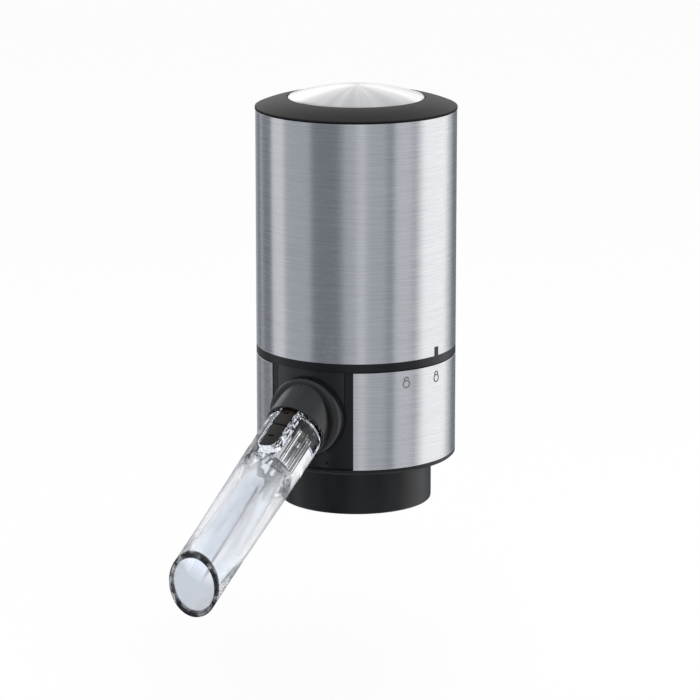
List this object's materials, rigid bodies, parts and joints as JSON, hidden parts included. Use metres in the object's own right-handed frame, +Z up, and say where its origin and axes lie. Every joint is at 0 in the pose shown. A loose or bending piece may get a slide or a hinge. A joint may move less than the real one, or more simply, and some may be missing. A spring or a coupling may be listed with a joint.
{
  "type": "electric wine aerator",
  "caption": "Round battery-powered wine aerator that stands on a bottle neck, with a twist-off head, a domed push button and a slanting clear spout.",
  "frame": {"origin": "centre of the collar's mouth, where the bottle's neck enters the seal", "axes": "+Z up along the body, -Y towards the spout, +X to the right of someone who faces the spout"},
  "size_m": [0.0604, 0.1226, 0.1399],
  "materials": {
    "brushed_sleeve": "brushed round the body, satin",
    "spun_disc": "spun in circles, bright satin",
    "black_shell": "fine satin moulding",
    "grey_print": "laser-marked outline",
    "seal_rubber": "moulded silicone rubber",
    "milk_plastic": "natural acetal",
    "inner_plastic": "plain moulding",
    "screw_steel": "nickel-plated steel",
    "can_steel": "drawn and zinc-plated",
    "cell_jacket": "printed film, plain",
    "contact_brass": "stamped strip",
    "magnet": "sintered ferrite",
    "copper_winding": "enamelled copper on a laminated core",
    "lead_sleeving": "insulated lead",
    "board_resin": "coated laminate",
    "clear_acrylic": "polished clear acrylic",
    "black_insert": "satin moulding"
  },
  "bodies": {
    "base": {"base_housing": "black_shell", "lower_sleeve": "brushed_sleeve", "lock_marks": "grey_print", "spout_mount": "black_shell", "bottle_collar": "black_shell", "neck_seal": "seal_rubber", "wine_block": "milk_plastic", "passage_seal": "seal_rubber", "base_deck": "inner_plastic", "check_valve": "seal_rubber", "air_seal": "seal_rubber", "base_screws": "screw_steel"},
    "head": {"index_ring": "black_shell", "head_casing": "black_shell", "upper_sleeve": "brushed_sleeve", "cap_ring": "black_shell", "battery_tray": "inner_plastic", "battery_cover": "black_shell", "battery_1": "cell_jacket", "battery_2": "cell_jacket", "battery_3": "cell_jacket", "battery_4": "cell_jacket", "battery_5": "cell_jacket", "battery_6": "cell_jacket", "lower_contacts": "contact_brass", "upper_contacts": "contact_brass", "battery_springs": "screw_steel", "pump_head": "milk_plastic", "diaphragm": "seal_rubber", "pump_body": "milk_plastic", "air_nozzle": "milk_plastic", "motor_can": "can_steel", "motor_magnets": "magnet", "motor_end_cap": "milk_plastic", "motor_brushes": "contact_brass", "motor_leads": "lead_sleeving", "circuit_board": "board_resin", "switch_body": "inner_plastic", "button_deck": "inner_plastic", "return_spring": "screw_steel", "head_screws": "screw_steel"},
    "button": {"button_disc": "spun_disc", "button_carrier": "inner_plastic"},
    "plunger": {"switch_plunger": "milk_plastic"},
    "rotor": {"motor_shaft": "screw_steel", "armature": "copper_winding", "commutator": "contact_brass", "eccentric": "milk_plastic"},
    "swing": {"swing_plate": "milk_plastic"},
    "spout": {"spout_tube": "clear_acrylic", "aerator_insert": "black_insert", "spout_o_ring": "seal_rubber"}
  },
  "joints": [
    {"name": "head_twist", "type": "hinge", "parent": "base", "child": "head", "pos_m": [0, 0, 0.0453], "axis": [0, 0, 1], "range_deg": [-22.8, 0]},
    {"name": "button_press", "type": "slide", "parent": "head", "child": "button", "axis": [0, 0, -1], "range_m": [0, 0.0015], "stiffness_N_per_m": 600, "springref_m": -0.003, "deforming": ["return_spring"]},
    {"name": "switch_travel", "type": "slide", "parent": "head", "child": "plunger", "axis": [0, 0, -1], "range_m": [0, 0.0015]},
    {"name": "motor_spin", "type": "hinge", "parent": "head", "child": "rotor", "pos_m": [0, 0, 0.0825], "axis": [0, 0, 1], "continuous": true},
    {"name": "swing_tilt", "type": "hinge", "parent": "head", "child": "swing", "pos_m": [0, 0, 0.0636], "axis": [1, 0, 0], "range_deg": [-3, 3]},
    {"name": "spout_pull", "type": "slide", "parent": "base", "child": "spout", "axis": [0, -0.866, -0.5], "range_m": [0, 0.011]}
  ],
  "couplings": [
    {"joint": "switch_travel", "follows": "button_press", "ratio": 1}
  ]
}
